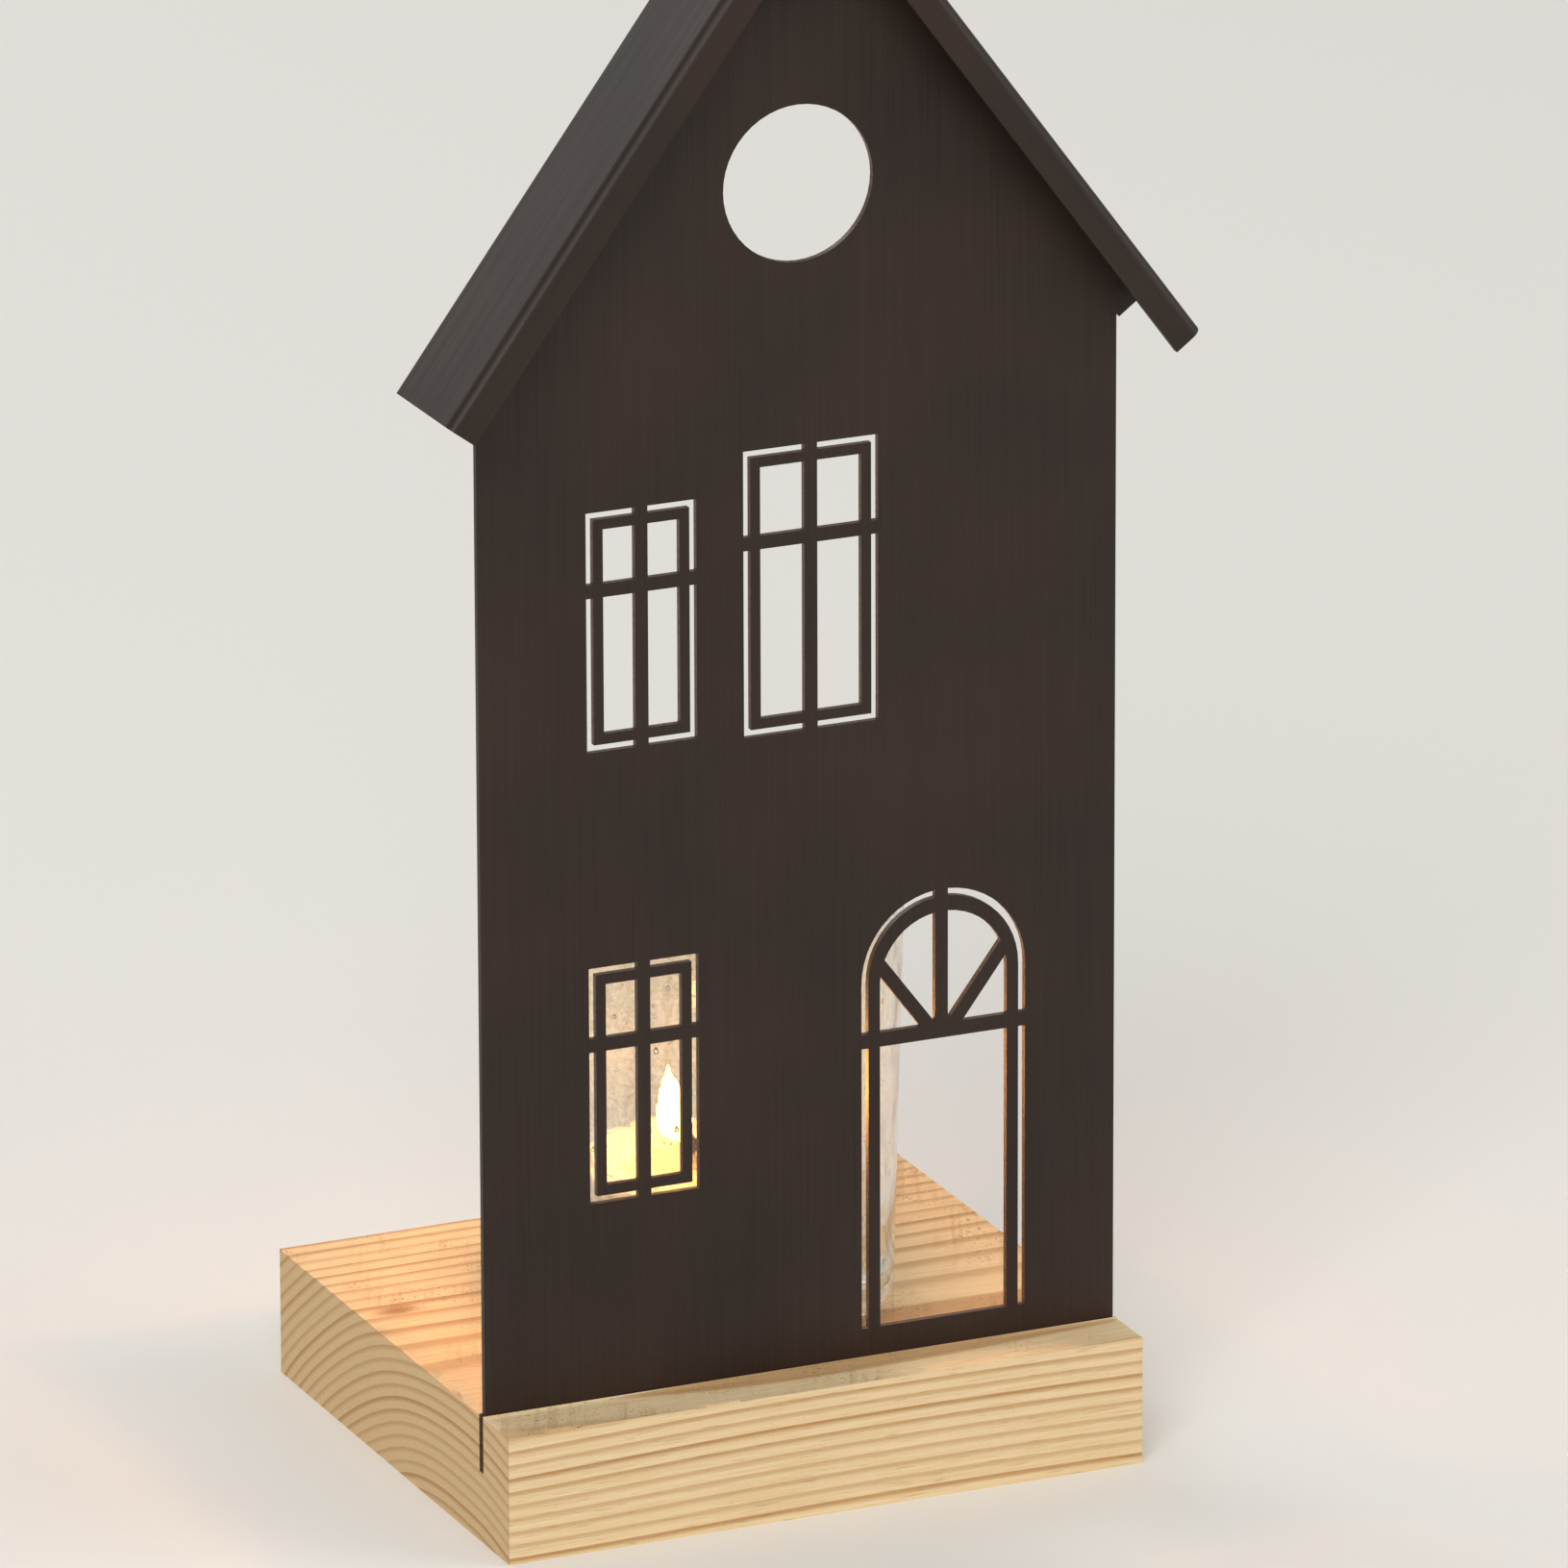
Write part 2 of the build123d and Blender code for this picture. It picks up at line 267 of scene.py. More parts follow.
def new_material(name):
    """A material with an empty node tree, and the object coordinates in that tree."""
    material = bpy.data.materials.new(name)
    material.use_nodes = True
    material.node_tree.nodes.clear()
    place = node(material.node_tree, "TexCoord").outputs["Object"]
    return material, material.node_tree, place


def finish(material, shader, *objects):
    """Shows the shader on these objects."""
    node(material.node_tree, "OutputMaterial", {"Surface": shader})
    for shown in objects:
        shown.data.materials.clear()
        shown.data.materials.append(material)


def kerf_half(s):
    """Half the width of the saw kerf."""
    return (sheet_high.y - sheet_low.y) / 2 + s.kerf_clearance


class TEALIGHT_OT_block(bpy.types.Operator):
    """Models the sawn block, with raised ring lines and chipped edges, and gives it its grain"""

    bl_idname = "tealight.block"
    bl_label = "Pine Block"

    cuts: IntProperty(
        name="Cuts", description="Cuts along each edge of the block", default=95, min=10, max=100
    )
    smooth_angle: angle("Smooth angle", 40.0, "Sharper edges than this stay sharp")

    def drift(self, point, s):
        """How far the ring line at a point of the block has wandered."""
        turns = Vector([rate * place for rate, place in zip(s.wander_rate, point)])
        return s.ring_wander * (1 + s.wander_swing * noise.noise(turns))

    def wear(self, point, drift, s):
        """How deep the block is worn at a point, as a share of the deepest chip."""
        x, y, z = point
        margin = 4 * TOUCH
        if abs(y - kerf_y) < kerf_half(s) + margin and z > sheet_low.z - margin:
            return 0
        age = (math.hypot(y - s.pith_y, z - s.pith_z) + drift) / s.ring_spacing
        season = age - math.floor(age)
        late_start, late_rise, late_end = 0.4, 0.5, 0.1
        late = min(max((season - late_start) / late_rise, 0), 1) * min((1 - season) / late_end, 1)
        on_end = min(x - block_low.x, block_high.x - x) < TOUCH
        on_side = min(y - block_low.y, block_high.y - y) < TOUCH
        on_top = block_high.z - z < TOUCH
        depth = s.grain_depth * (1 - late)
        if on_end and not on_top:
            depth = 0
        elif not on_top:
            depth *= s.side_grain
        if on_end + on_side + on_top > 1:
            depth += s.arris_wear
        if on_top and (on_end or on_side):
            chip = noise.noise(s.chip_rate * point) - s.chip_start
            depth += s.chip_gain * s.chip_depth * max(chip, 0)
        return min(depth / s.chip_depth, 1) * min(z / s.foot_fade, 1)

    def model(self, context, s):
        """The block with its kerf, its raised grain and its chipped edges."""
        bpy.ops.object.select_all(action="DESELECT")
        middle = (block_low + block_high) / 2
        bpy.ops.mesh.primitive_cube_add(size=1.0, location=middle)
        block = context.active_object
        block.name = "sawn_block"
        bpy.ops.transform.resize(value=block_high - block_low, center_override=middle)
        bpy.ops.object.transform_apply(location=True, rotation=True, scale=True)
        bpy.ops.object.mode_set(mode="EDIT")
        bpy.ops.mesh.select_all(action="SELECT")
        bpy.ops.mesh.subdivide(number_cuts=self.cuts)
        bpy.ops.object.mode_set(mode="OBJECT")

        # The saw goes right across the block, where the sheet stands.
        bpy.ops.object.select_all(action="DESELECT")
        blade_middle = Vector((middle.x, kerf_y, block_high.z))
        bpy.ops.mesh.primitive_cube_add(size=1.0, location=blade_middle)
        blade = context.active_object
        blade_size = (2 * (block_high.x - block_low.x), 2 * kerf_half(s), 2 * (block_high.z - sheet_low.z))
        bpy.ops.transform.resize(value=blade_size, center_override=blade_middle)
        bpy.ops.object.transform_apply(location=True, rotation=True, scale=True)
        kerf = block.modifiers.new("kerf", "BOOLEAN")
        kerf.operation = "DIFFERENCE"
        kerf.object = blade
        context.view_layer.objects.active = block
        bpy.ops.object.modifier_apply(modifier=kerf.name)
        bpy.data.objects.remove(blade)

        # The underside and the kerf stay as they were cut.
        points = [vert.co.copy() for vert in block.data.vertices]
        wander = [self.drift(point, s) for point in points]
        block.data.attributes.new("wander", "FLOAT", "POINT").data.foreach_set("value", wander)
        group = block.vertex_groups.new(name="worn")
        for index, (point, drift) in enumerate(zip(points, wander)):
            group.add([index], self.wear(point, drift, s), "REPLACE")
        wear = block.modifiers.new("wear", "DISPLACE")
        wear.vertex_group = group.name
        wear.mid_level = 0
        wear.strength = -s.chip_depth
        bpy.ops.object.modifier_apply(modifier=wear.name)
        block.select_set(True)
        bpy.ops.object.shade_smooth_by_angle(angle=self.smooth_angle)
        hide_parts("base_block")
        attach(block, "house")
        return block

    def execute(self, context):
        s = context.scene.tealight_pine
        block = self.model(context, s)
        # Rough-sawn, untreated pine: pale earlywood, thin dark ring lines with one sharp side, and a dry,
        # fuzzy surface.
        material, tree, place = new_material("sawn_pine")
        about_pith = node(
            tree, "Mapping", {"Vector": place, "Scale": (0, 1, 1), "Location": (0, -s.pith_y, -s.pith_z)}
        )
        radius = node(tree, "VectorMath", {0: about_pith}, operation="LENGTH")
        # The rings wander as the block's raised grain does.
        wander = node(tree, "Attribute", attribute_name="wander").outputs["Fac"]
        radius = node(tree, "Math", {0: radius, 1: wander}, operation="ADD")
        age = node(tree, "Math", {0: radius, 1: s.ring_spacing}, operation="DIVIDE")
        season = node(tree, "Math", {0: age}, operation="FRACT")
        year = node(tree, "Math", {0: age}, operation="FLOOR")
        # Latewood darkens slowly and ends at a sharp line, and no two years are alike.
        late = node(
            tree, "MapRange", {0: season, "From Min": 0.4, "From Max": 0.93},
            interpolation_type="SMOOTHERSTEP",
        )
        ended = node(tree, "MapRange", {0: season, "From Min": 1.0, "From Max": 0.94})
        late = node(tree, "Math", {0: late, 1: ended}, operation="MULTIPLY")
        strong = node(tree, "TexWhiteNoise", {"W": year}, noise_dimensions="1D")
        strong = node(tree, "MapRange", {0: strong, "To Min": 0.45, "To Max": 1.0})
        late = node(tree, "Math", {0: late, 1: strong}, operation="MULTIPLY")
        # Fibres and resin ducts run along the block, and saw marks run aslant across it.
        fibre = node(
            tree, "Mapping",
            {"Vector": place, "Scale": (1 / s.fibre_length, 1 / s.fibre_width, 1 / s.fibre_width)},
        )
        fibre = node(tree, "TexNoise", {"Vector": fibre, "Scale": 1.0, "Detail": 3.0})
        duct = node(
            tree, "Mapping",
            {"Vector": place, "Scale": (1 / s.duct_length, 1 / s.duct_width, 1 / s.duct_width)},
        )
        duct = node(tree, "TexNoise", {"Vector": duct, "Scale": 1.0, "Detail": 0.0})
        duct = node(tree, "MapRange", {0: duct, "From Min": 0.72, "From Max": 0.8, "To Max": 0.35})
        sawn = node(tree, "Mapping", {"Vector": place, "Rotation": (0, 0, s.saw_slant)})
        sawn = node(
            tree, "Mapping",
            {"Vector": sawn, "Scale": (1 / s.saw_pitch, 1 / s.saw_length, 1 / s.saw_length)},
        )
        sawn = node(tree, "TexNoise", {"Vector": sawn, "Scale": 1.0, "Detail": 2.0})
        fuzz = node(tree, "TexNoise", {"Vector": place, "Scale": 1 / s.fuzz_size, "Detail": 1.0})
        facing = node(tree, "SeparateXYZ", {0: node(tree, "NewGeometry").outputs["Normal"]})
        ends = node(tree, "Math", {0: facing.outputs["X"]}, operation="ABSOLUTE")
        ends = node(tree, "MapRange", {0: ends, "From Min": 0.5, "From Max": 0.8, "To Max": 0.32})
        # A short streak of resin lies in the top, near the left end.
        reach, middle = s.streak_reach, s.streak_place
        streak = node(
            tree, "Mapping",
            {"Vector": place, "Scale": [1 / r for r in reach],
             "Location": [-m / r for m, r in zip(middle, reach)]},
        )
        streak = node(tree, "VectorMath", {0: streak}, operation="LENGTH")
        streak = node(tree, "Math", {0: fibre, 1: 0.9, 2: streak}, operation="MULTIPLY_ADD")
        streak = node(tree, "MapRange", {0: streak, "From Min": 1.6, "From Max": 0.8, "To Max": 0.75})
        shade = node(tree, "Mix", {0: late, 6: s.earlywood, 7: s.latewood}, data_type="RGBA")
        streaky = node(tree, "MapRange", {0: fibre, "From Min": 0.35, "From Max": 0.75, "To Max": 0.5})
        shade = node(tree, "Mix", {0: streaky, 6: shade, 7: s.fibre}, data_type="RGBA")
        shade = node(tree, "Mix", {0: ends, 6: shade, 7: s.end_grain}, data_type="RGBA")
        shade = node(tree, "Mix", {0: duct, 6: shade, 7: s.resin}, data_type="RGBA")
        shade = node(tree, "Mix", {0: streak, 6: shade, 7: s.resin}, data_type="RGBA")
        # Dust lies in patches on the top, in the saw marks and as specks, which are drawn larger than the
        # real 0.2 mm, to show.
        upwards = node(tree, "MapRange", {0: facing.outputs["Z"], "From Min": 0.5, "From Max": 0.8})
        marks = node(tree, "MapRange", {0: sawn, "From Min": 0.48, "From Max": 0.66, "To Max": 0.3})
        dusty = node(tree, "TexNoise", {"Vector": place, "Scale": 1 / s.dust_patch, "Detail": 1.0})
        dusty = node(tree, "MapRange", {0: dusty, "From Min": 0.42, "From Max": 0.6})
        upwards = node(tree, "Math", {0: upwards, 1: dusty}, operation="MULTIPLY")
        marks = node(tree, "Math", {0: marks, 1: upwards}, operation="MULTIPLY")
        shade = node(tree, "Mix", {0: marks, 6: shade, 7: s.end_grain}, data_type="RGBA")
        specks = node(tree, "TexNoise", {"Vector": place, "Scale": 1 / s.speck_size, "Detail": 0.0})
        specks = node(tree, "MapRange", {0: specks, "From Min": 0.7, "From Max": 0.76, "To Max": 0.6})
        specks = node(tree, "Math", {0: specks, 1: upwards}, operation="MULTIPLY")
        shade = node(tree, "Mix", {0: specks, 6: shade, 7: s.speck_and_kerf_shade}, data_type="RGBA")
        # Painted shade: the walls of the kerf are darkened down to its floor, for the shade in the narrow
        # groove where the sheet stands.
        axes = node(tree, "SeparateXYZ", {0: place})
        off_kerf = node(tree, "Math", {0: axes.outputs["Y"], 1: kerf_y}, operation="SUBTRACT")
        off_kerf = node(tree, "Math", {0: off_kerf}, operation="ABSOLUTE")
        wall = kerf_half(s)
        kerf_shade = node(
            tree, "MapRange",
            {0: off_kerf, "From Min": wall + TOUCH, "From Max": wall + FLUSH, "To Max": 0.9},
        )
        above = node(
            tree, "MapRange",
            {0: axes.outputs["Z"], "From Min": sheet_low.z - TOUCH, "From Max": sheet_low.z - FLUSH},
        )
        kerf_shade = node(tree, "Math", {0: kerf_shade, 1: above}, operation="MULTIPLY")
        shade = node(tree, "Mix", {0: kerf_shade, 6: shade, 7: s.speck_and_kerf_shade}, data_type="RGBA")
        rough = node(tree, "MapRange", {0: late, "To Min": 0.82, "To Max": 0.66})
        relief = node(tree, "Math", {0: late, 1: 0.5, 2: fibre}, operation="MULTIPLY_ADD")
        relief = node(tree, "Math", {0: sawn, 1: 0.45, 2: relief}, operation="MULTIPLY_ADD")
        relief = node(tree, "Math", {0: fuzz, 1: 0.6, 2: relief}, operation="MULTIPLY_ADD")
        bump = node(tree, "Bump", {"Height": relief, "Strength": 0.55, "Distance": s.relief_depth})
        shader = node(
            tree, "BsdfPrincipled",
            {"Base Color": shade, "Roughness": rough, "Normal": bump, "Specular IOR Level": 0.3},
        )
        finish(material, shader, block)
        return {"FINISHED"}


class TEALIGHT_OT_sheet_metal(bpy.types.Operator):
    """Gives the house front, the roof and the welds their dark lacquer"""

    bl_idname = "tealight.sheet_metal"
    bl_label = "Sheet Metal"

    def execute(self, context):
        s = context.scene.tealight_lacquer
        # Steel sheet under a brushed dark brown lacquer: a satin sheen with fine streaks along the sheet.
        for name, pieces in (
            ("lacquered_steel", ("house_front", "tack_welds")),
            ("lacquered_steel_roof", ("roof",)),
        ):
            material, tree, place = new_material(name)
            if pieces == ("roof",):
                # The streaks run down both slopes, so the left slope is read as a mirror of the right one.
                parts = node(tree, "SeparateXYZ", {0: place})
                side = node(tree, "Math", {0: parts.outputs["X"]}, operation="ABSOLUTE")
                place = node(
                    tree, "CombineXYZ", {"X": side, "Y": parts.outputs["Y"], "Z": parts.outputs["Z"]}
                )
                lean = math.pi / 2 - s.roof_pitch
                place = node(tree, "Mapping", {"Vector": place, "Rotation": (0, lean, 0)})
            stretch = (1 / s.streak_width, 1 / s.streak_width, 1 / s.streak_length)
            fine = node(tree, "Mapping", {"Vector": place, "Scale": stretch})
            fine = node(tree, "TexNoise", {"Vector": fine, "Scale": 1.0, "Detail": 3.0, "Roughness": 0.6})
            # The lacquer lies thinner in soft patches and along some streaks.
            cloud = node(tree, "TexNoise", {"Vector": place, "Scale": 1 / s.patch_size, "Detail": 3.0})
            thin = node(tree, "Math", {0: fine, 1: 0.6, 2: cloud}, operation="MULTIPLY_ADD")
            thin = node(tree, "MapRange", {0: thin, "From Min": 0.6, "From Max": 1.0})
            shade = node(tree, "Mix", {0: thin, 6: s.thick, 7: s.thin}, data_type="RGBA")
            if "house_front" in pieces:
                # The edges of the openings are lighter: thin lacquer, and a painted highlight for the
                # candlelight that glints on them.
                facing = node(tree, "SeparateXYZ", {0: node(tree, "NewGeometry").outputs["Normal"]})
                cut = node(tree, "Math", {0: facing.outputs["Y"]}, operation="ABSOLUTE")
                cut = node(tree, "MapRange", {0: cut, "From Min": 0.7, "From Max": 0.4})
                # The laser's lines go through the sheet. They are drawn coarser than the real 0.2 mm, so
                # that they show.
                pitch = (1 / s.laser_pitch, 1 / s.laser_length, 1 / s.laser_pitch)
                lines = node(tree, "Mapping", {"Vector": place, "Scale": pitch})
                lines = node(tree, "TexNoise", {"Vector": lines, "Scale": 1.0, "Detail": 1.0})
                lines = node(tree, "MapRange", {0: lines, "From Min": 0.35, "From Max": 0.65, "To Min": 0.35})
                cut = node(tree, "Math", {0: cut, 1: lines}, operation="MULTIPLY")
                # The outer edges keep the faces' colour. Only the openings' edges are lightened by the
                # painted highlight and show the lines.
                out = node(tree, "SeparateXYZ", {0: place}).outputs["X"]
                out = node(tree, "Math", {0: out}, operation="ABSOLUTE")
                inner = sheet_high.x - s.edge_margin
                fade = s.edge_margin / 2
                inside = node(tree, "MapRange", {0: out, "From Min": inner + fade, "From Max": inner})
                cut = node(tree, "Math", {0: cut, 1: inside}, operation="MULTIPLY")
                shade = node(tree, "Mix", {0: cut, 6: shade, 7: s.cut_edge_and_glint}, data_type="RGBA")
            rough = node(
                tree, "MapRange", {0: fine, "From Min": 0.3, "From Max": 0.7, "To Min": 0.5, "To Max": 0.38}
            )
            bump = node(tree, "Bump", {"Height": fine, "Strength": 0.3, "Distance": s.streak_depth})
            shader = node(
                tree, "BsdfPrincipled",
                {"Base Color": shade, "Roughness": rough, "Normal": bump, "Specular IOR Level": 0.3},
            )
            finish(material, shader, *(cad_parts[piece] for piece in pieces))
        return {"FINISHED"}


class TEALIGHT_OT_tumbler(bpy.types.Operator):
    """Gives the tumbler its clear, rippled glass and scatters air seeds through its wall and floor"""

    bl_idname = "tealight.tumbler"
    bl_label = "Tumbler"

    def execute(self, context):
        s = context.scene.tealight_glass
        # Hand-made soda glass: soft ripples and dimples bend what is seen through it, fine specks cloud it,
        # and a breath of haze takes on the candle's light.
        material, tree, place = new_material("seeded_glass")
        ripple = node(tree, "TexNoise", {"Vector": place, "Scale": 1 / s.ripple_size, "Detail": 1.0})
        dimple = node(
            tree, "TexVoronoi", {"Vector": place, "Scale": 1 / s.dimple_spacing}, feature="SMOOTH_F1"
        )
        height = node(tree, "Math", {0: dimple, 1: 0.12, 2: ripple}, operation="MULTIPLY_ADD")
        bump = node(tree, "Bump", {"Height": height, "Strength": 0.35, "Distance": s.ripple_depth})
        specks = node(tree, "TexNoise", {"Vector": place, "Scale": 1 / s.mottle_size, "Detail": 2.0})
        specks = node(tree, "MapRange", {0: specks, "From Min": 0.4, "From Max": 0.7})
        shade = node(tree, "Mix", {0: specks, 6: s.tint, 7: s.mottle}, data_type="RGBA")
        clear = {"IOR": 1.52, "Roughness": 0.015}
        shader = node(
            tree, "BsdfPrincipled", {**clear, "Base Color": shade, "Transmission Weight": 0.9, "Normal": bump}
        )
        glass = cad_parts["lantern_glass"]
        finish(material, shader, glass)
        glass.visible_shadow = False

        # One seed, drawn out in height and narrower at its upper end, is copied through the wall and the
        # floor.
        drawn_out, upper_part, taper = (1, 1, 1.25), 0.3, (0.7, 0.7, 1.2)
        bpy.ops.object.select_all(action="DESELECT")
        scatter = random.Random(11)
        rim_radius = (glass_high.x - glass_low.x) / 2
        tall = glass_high.z - glass_low.z
        size = s.seed_radius
        seat = Vector((candle_axis.x, candle_axis.y, glass_low.z + s.floor / 2))
        bpy.ops.mesh.primitive_uv_sphere_add(segments=8, ring_count=6, radius=size, location=seat)
        seeds = context.active_object
        seeds.name = "glass_seeds"
        bpy.ops.object.transform_apply(location=True, rotation=True, scale=True)
        bpy.ops.object.mode_set(mode="EDIT")
        bpy.ops.mesh.select_all(action="SELECT")
        bpy.ops.transform.resize(value=drawn_out, center_override=seat)
        mesh = bmesh.from_edit_mesh(seeds.data)
        for vert in mesh.verts:
            vert.select_set(vert.co.z > seat.z + upper_part * size)
        mesh.select_flush_mode()
        bmesh.update_edit_mesh(seeds.data)
        bpy.ops.transform.resize(value=taper, center_override=seat)
        bpy.ops.mesh.select_all(action="SELECT")
        # Shares of the largest seed, of the glass's height, of its wall and of its floor
        smallest, wall_heights, wall_spread = 0.3, (0.06, 0.97), (-0.2, 0.2)
        floor_every, floor_reach, floor_heights = 6, 0.75, (0.35, 0.75)
        for i in range(s.seed_count - 1):
            new_size = s.seed_radius * (smallest + (1 - smallest) * scatter.random() ** 3)
            turn = scatter.uniform(0, 2 * math.pi)
            if i % floor_every:
                share = scatter.uniform(*wall_heights)
                outer = s.foot_radius + (rim_radius - s.foot_radius) * share
                radius = outer - s.wall / 2 + scatter.uniform(*wall_spread) * s.wall
                z = glass_low.z + share * tall
            else:
                radius = floor_reach * s.foot_radius * math.sqrt(scatter.random())
                z = glass_low.z + scatter.uniform(*floor_heights) * s.floor
            x = candle_axis.x + radius * math.cos(turn)
            y = candle_axis.y + radius * math.sin(turn)
            new_seat = Vector((x, y, z))
            bpy.ops.mesh.duplicate_move(TRANSFORM_OT_translate={"value": new_seat - seat})
            grown = new_size / size
            bpy.ops.transform.resize(value=(grown, grown, grown), center_override=new_seat)
            seat, size = new_seat, new_size
        bpy.ops.object.mode_set(mode="OBJECT")
        bpy.ops.object.shade_smooth()
        # The seeds are drawn larger than most real ones, which are under 0.3 mm, so that they show.
        material, tree, _ = new_material("air_seeds")
        shader = node(tree, "BsdfPrincipled", {**clear, "Base Color": s.tint, "Transmission Weight": 1.0})
        finish(material, shader, seeds)
        seeds.visible_shadow = False
        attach(seeds, "glass")
        return {"FINISHED"}


class TEALIGHT_OT_candle(bpy.types.Operator):
    """Gives the cup, the wax, the clip and the wick their finishes"""

    bl_idname = "tealight.candle"
    bl_label = "Tealight"

    def execute(self, context):
        s = context.scene.tealight_candle
        # Moulded polycarbonate: clear, with a faint haze and a film of wax that takes on the candle's light.
        material, tree, place = new_material("clear_polycarbonate")
        haze = node(tree, "TexNoise", {"Vector": place, "Scale": 1 / s.haze_size, "Detail": 2.0})
        haze = node(tree, "MapRange", {0: haze, "To Min": 0.02, "To Max": 0.12})
        shader = node(
            tree, "BsdfPrincipled",
            {"Base Color": s.cup, "Transmission Weight": 0.75, "IOR": 1.58, "Roughness": haze},
        )
        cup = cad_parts["tealight_cup"]
        finish(material, shader, cup)
        cup.visible_shadow = False

        # Cast paraffin wax: white and cloudy. Light goes some millimetres into it, and the melted pool is
        # glossy.
        material, tree, place = new_material("paraffin_wax")
        about_wick = node(
            tree, "Mapping",
            {"Vector": place, "Scale": (1, 1, 0), "Location": (-candle_axis.x, -candle_axis.y, 0)},
        )
        out = node(tree, "VectorMath", {0: about_wick}, operation="LENGTH")
        cloud = node(tree, "TexNoise", {"Vector": place, "Scale": 1 / s.cloud_size, "Detail": 3.0})
        out = node(tree, "Math", {0: cloud, 1: s.pool_wander, 2: out}, operation="MULTIPLY_ADD")
        pool_edge = s.pool_radius + s.pool_fade
        pool = node(tree, "MapRange", {0: out, "From Min": pool_edge, "From Max": s.pool_radius})
        cloudy = node(tree, "MapRange", {0: cloud, "From Min": 0.3, "From Max": 0.8, "To Max": 0.3})
        melted = node(tree, "Math", {0: pool, 1: 0.6, 2: cloudy}, operation="MULTIPLY_ADD")
        shade = node(tree, "Mix", {0: melted, 6: s.wax, 7: s.melted}, data_type="RGBA")
        rough = node(tree, "MapRange", {0: pool, "To Min": 0.45, "To Max": 0.1})
        bump = node(tree, "Bump", {"Height": cloud, "Strength": 0.15, "Distance": s.cloud_depth})
        shader = node(
            tree, "BsdfPrincipled",
            {"Base Color": shade, "Roughness": rough, "Normal": bump, "IOR": 1.44, "Subsurface Weight": 0.7,
             "Subsurface Radius": (1.0, 0.75, 0.5), "Subsurface Scale": s.light_depth},
        )
        finish(material, shader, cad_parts["tealight_wax"])

        # Pressed tinplate: bright, with a fine rolled grain.
        material, tree, place = new_material("pressed_tinplate")
        stretch = (1 / s.tin_grain_width, 1 / s.tin_grain_length, 1 / s.tin_grain_length)
        grain = node(tree, "Mapping", {"Vector": place, "Scale": stretch})
        grain = node(tree, "TexNoise", {"Vector": grain, "Scale": 1.0, "Detail": 2.0})
        rough = node(tree, "MapRange", {0: grain, "To Min": 0.18, "To Max": 0.45})
        shader = node(tree, "BsdfPrincipled", {"Base Color": s.tinplate, "Metallic": 1.0, "Roughness": rough})
        finish(material, shader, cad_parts["wick_clip"])

        # Braided cotton: slanting strands, charred black where it stands out of the wax.
        material, tree, place = new_material("braided_cotton")
        level = node(tree, "SeparateXYZ", {0: place}).outputs["Z"]
        braid = node(
            tree, "TexWave",
            {"Vector": place, "Scale": WAVE_BAND / s.strand_width, "Distortion": 1.5, "Detail": 1.0},
            bands_direction="DIAGONAL",
        ).outputs["Fac"]
        burnt = node(
            tree, "MapRange",
            {0: level, "From Min": wick_high.z - s.char_start, "From Max": wick_high.z - s.char_full},
        )
        shade = node(tree, "Mix", {0: braid, 6: s.cotton, 7: s.melted}, data_type="RGBA")
        shade = node(tree, "Mix", {0: burnt, 6: shade, 7: s.char}, data_type="RGBA")
        bump = node(tree, "Bump", {"Height": braid, "Strength": 0.6, "Distance": s.strand_depth})
        shader = node(tree, "BsdfPrincipled", {"Base Color": shade, "Roughness": 0.9, "Normal": bump})
        finish(material, shader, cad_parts["wick"])
        return {"FINISHED"}


